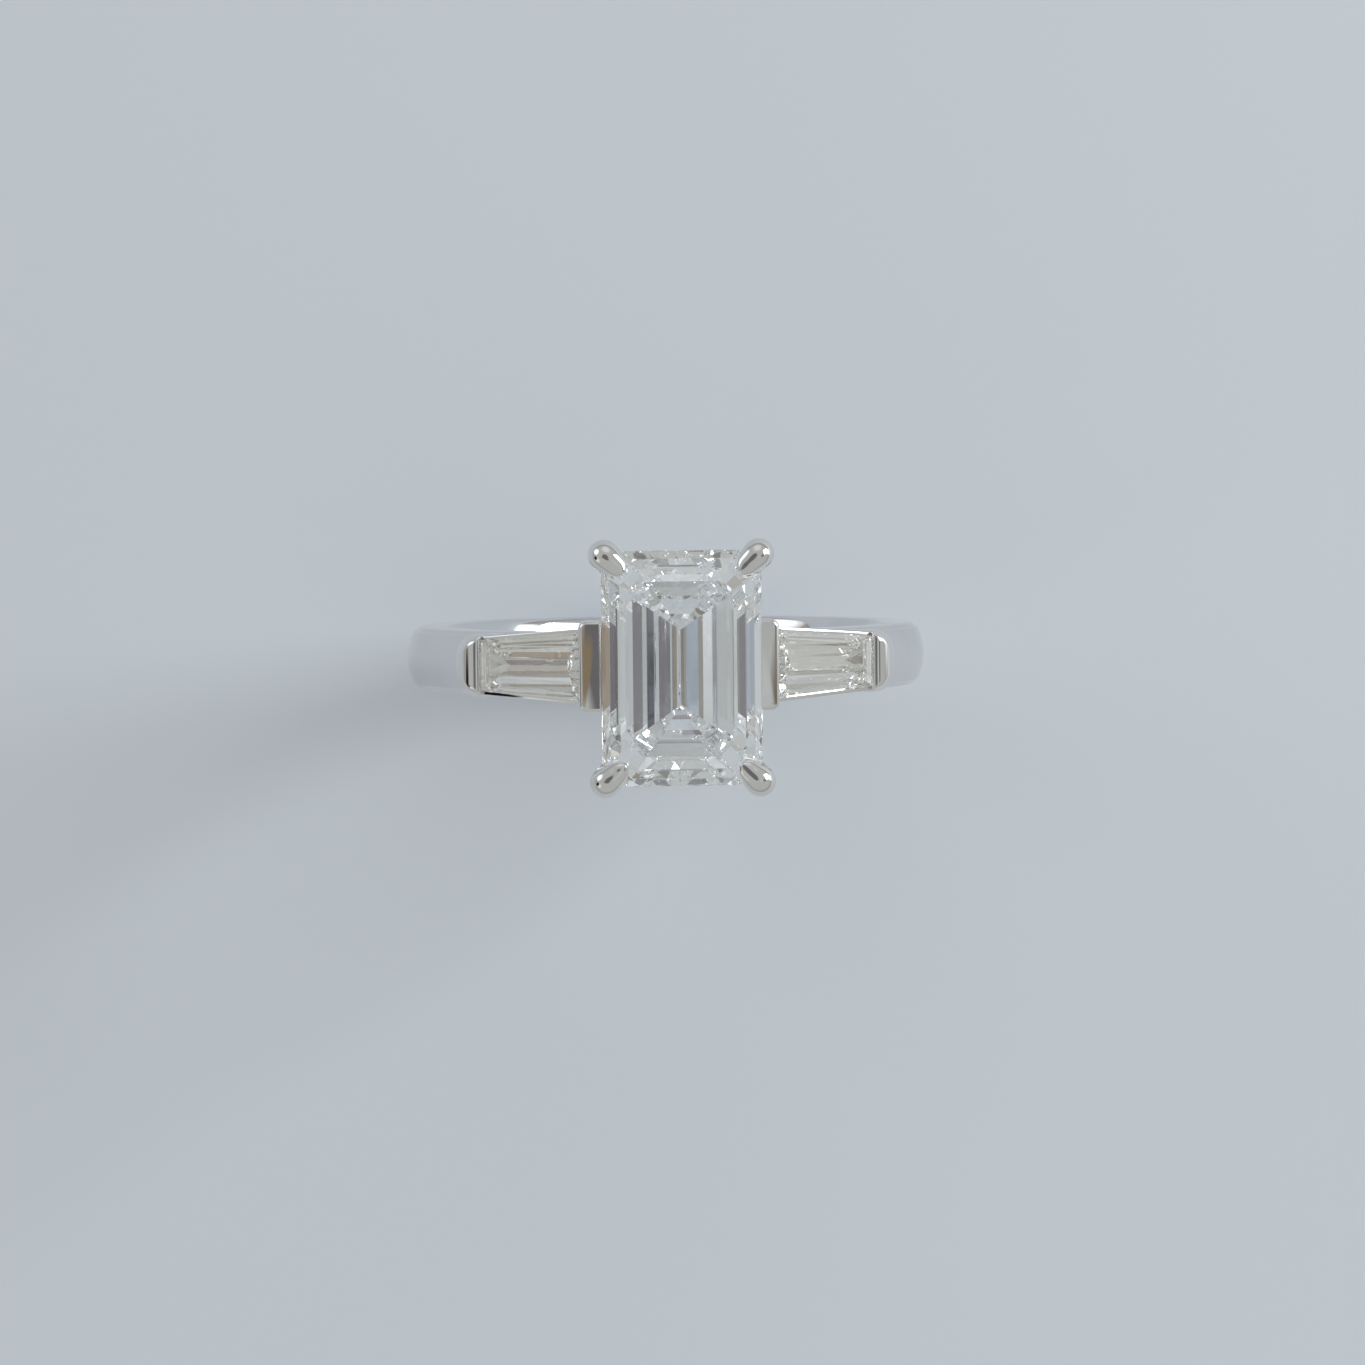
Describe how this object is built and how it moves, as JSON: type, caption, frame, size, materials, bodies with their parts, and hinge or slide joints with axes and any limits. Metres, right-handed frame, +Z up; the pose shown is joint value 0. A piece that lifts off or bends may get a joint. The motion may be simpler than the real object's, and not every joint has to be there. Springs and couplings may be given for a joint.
{
  "type": "engagement ring",
  "caption": "White metal finger ring: an emerald-cut diamond in four claws on a railed basket, with a tapered baguette diamond between two bars on each shoulder.",
  "frame": {"origin": "centre of the finger hole, midway through the band's width", "axes": "+Y along the finger, +Z up through the head and the centre stone, X across the band"},
  "size_m": [0.02, 0.0096, 0.0242],
  "materials": {
    "platinum": "polished",
    "centre_stone": "polished facets",
    "side_stones": "polished facets"
  },
  "bodies": {
    "root": {"shank": "platinum", "lower_gallery_rail": "platinum", "upper_gallery_rail": "platinum", "claw_front_left": "platinum", "claw_front_right": "platinum", "claw_back_left": "platinum", "claw_back_right": "platinum", "left_inner_bar": "platinum", "left_outer_bar": "platinum", "left_side_rail_front": "platinum", "left_side_rail_back": "platinum", "right_inner_bar": "platinum", "right_outer_bar": "platinum", "right_side_rail_front": "platinum", "right_side_rail_back": "platinum", "centre_diamond": "centre_stone", "left_baguette_diamond": "side_stones", "right_baguette_diamond": "side_stones"}
  },
  "joints": []
}
